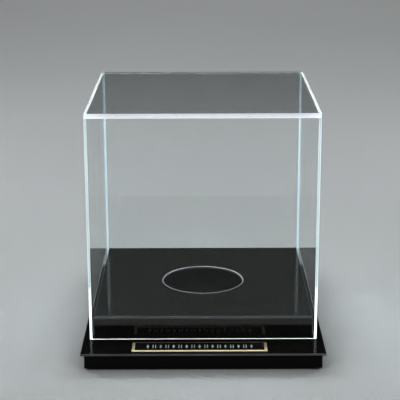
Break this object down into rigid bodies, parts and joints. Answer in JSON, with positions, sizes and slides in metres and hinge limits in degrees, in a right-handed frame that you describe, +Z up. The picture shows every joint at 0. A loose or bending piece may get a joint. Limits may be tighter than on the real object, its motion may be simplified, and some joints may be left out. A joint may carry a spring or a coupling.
{
  "type": "acrylic display cube",
  "caption": "Clear acrylic cube cover that lifts off a low black riser with a round ball seat, on a wider black base with a bordered nameplate on its front edge.",
  "frame": {"origin": "centre of the base's footprint, on the surface that the rubber feet stand on", "axes": "+X is the viewer's right, -Y is the front with the nameplate, +Y is the back, +Z is up"},
  "size_m": [0.282, 0.318, 0.293],
  "materials": {
    "clear_acrylic": "clear polished acrylic sheet, edges bright and faintly hazy",
    "black_acrylic": "opaque black acrylic sheet, high gloss faces, satin cut edges, fine rub marks",
    "nameplate_metal": "thin brass plate, satin border and black lacquered field",
    "adhesive_tape": "thin white adhesive tape",
    "foot_rubber": "matte black stick-on rubber foot"
  },
  "bodies": {
    "base": {"riser_top_sheet": "black_acrylic", "riser_front_wall": "black_acrylic", "riser_back_wall": "black_acrylic", "riser_left_wall": "black_acrylic", "riser_right_wall": "black_acrylic", "base_deck": "black_acrylic", "base_front_skirt": "black_acrylic", "base_back_skirt": "black_acrylic", "base_left_skirt": "black_acrylic", "base_right_skirt": "black_acrylic", "nameplate": "nameplate_metal", "nameplate_tape": "adhesive_tape", "corner_block_front_left": "black_acrylic", "corner_block_front_right": "black_acrylic", "corner_block_back_left": "black_acrylic", "corner_block_back_right": "black_acrylic", "rubber_foot_front_left": "foot_rubber", "rubber_foot_front_right": "foot_rubber", "rubber_foot_back_left": "foot_rubber", "rubber_foot_back_right": "foot_rubber"},
    "cover": {"cover_top_sheet": "clear_acrylic", "cover_front_panel": "clear_acrylic", "cover_back_panel": "clear_acrylic", "cover_left_panel": "clear_acrylic", "cover_right_panel": "clear_acrylic"}
  },
  "joints": [
    {"name": "cover_lift", "type": "slide", "parent": "base", "child": "cover", "axis": [0, 0, 1], "range_m": [0, 0.3]}
  ]
}
